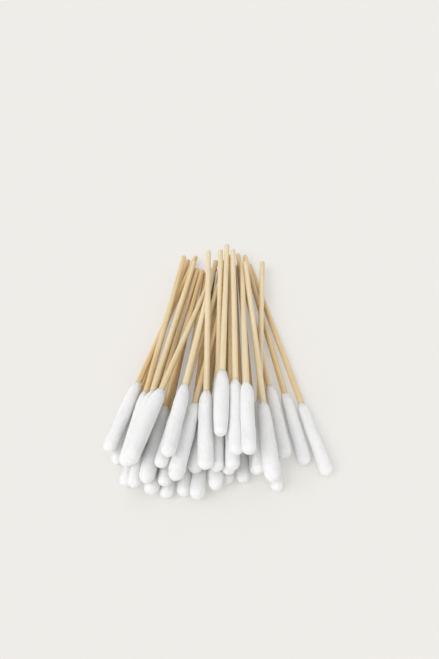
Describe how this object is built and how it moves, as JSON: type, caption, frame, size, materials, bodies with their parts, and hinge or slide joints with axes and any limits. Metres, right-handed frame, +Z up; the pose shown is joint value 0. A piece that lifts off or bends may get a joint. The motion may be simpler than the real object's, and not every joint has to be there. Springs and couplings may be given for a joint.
{
  "type": "cotton swab bundle",
  "caption": "Loose bundle of long wooden cotton swabs with a wound cotton tip at one end, lying with the tails gathered and the tips fanned out.",
  "frame": {"origin": "middle of the bundle's bounding box, on the surface that the bundle lies on", "axes": "+Z up, -Y the way the cotton tips point, +Y towards the bare stick ends, +X across the fan"},
  "size_m": [0.099, 0.1666, 0.0333],
  "materials": {
    "stick_wood": "plain planed wood, unvarnished, fine grain along the stick",
    "cotton": "soft matte bleached cotton fibre, tightly wound"
  },
  "bodies": {
    "root": {"lowest_sticks": "stick_wood", "lowest_tips": "cotton", "swab_06_stick": "stick_wood", "swab_06_tip": "cotton", "swab_07_stick": "stick_wood", "swab_07_tip": "cotton", "swab_08_stick": "stick_wood", "swab_08_tip": "cotton", "swab_09_stick": "stick_wood", "swab_09_tip": "cotton", "swab_10_stick": "stick_wood", "swab_10_tip": "cotton", "swab_11_stick": "stick_wood", "swab_11_tip": "cotton", "swab_12_stick": "stick_wood", "swab_12_tip": "cotton", "swab_13_stick": "stick_wood", "swab_13_tip": "cotton", "swab_14_stick": "stick_wood", "swab_14_tip": "cotton", "swab_15_stick": "stick_wood", "swab_15_tip": "cotton", "swab_16_stick": "stick_wood", "swab_16_tip": "cotton", "swab_17_stick": "stick_wood", "swab_17_tip": "cotton", "swab_18_stick": "stick_wood", "swab_18_tip": "cotton", "swab_19_stick": "stick_wood", "swab_19_tip": "cotton", "swab_20_stick": "stick_wood", "swab_20_tip": "cotton", "swab_21_stick": "stick_wood", "swab_21_tip": "cotton", "swab_22_stick": "stick_wood", "swab_22_tip": "cotton", "swab_23_stick": "stick_wood", "swab_23_tip": "cotton", "swab_24_stick": "stick_wood", "swab_24_tip": "cotton", "swab_25_stick": "stick_wood", "swab_25_tip": "cotton", "swab_26_stick": "stick_wood", "swab_26_tip": "cotton", "swab_27_stick": "stick_wood", "swab_27_tip": "cotton", "swab_28_stick": "stick_wood", "swab_28_tip": "cotton", "swab_29_stick": "stick_wood", "swab_29_tip": "cotton", "swab_30_stick": "stick_wood", "swab_30_tip": "cotton", "swab_31_stick": "stick_wood", "swab_31_tip": "cotton", "swab_32_stick": "stick_wood", "swab_32_tip": "cotton", "swab_33_stick": "stick_wood", "swab_33_tip": "cotton", "swab_34_stick": "stick_wood", "swab_34_tip": "cotton"}
  },
  "joints": []
}
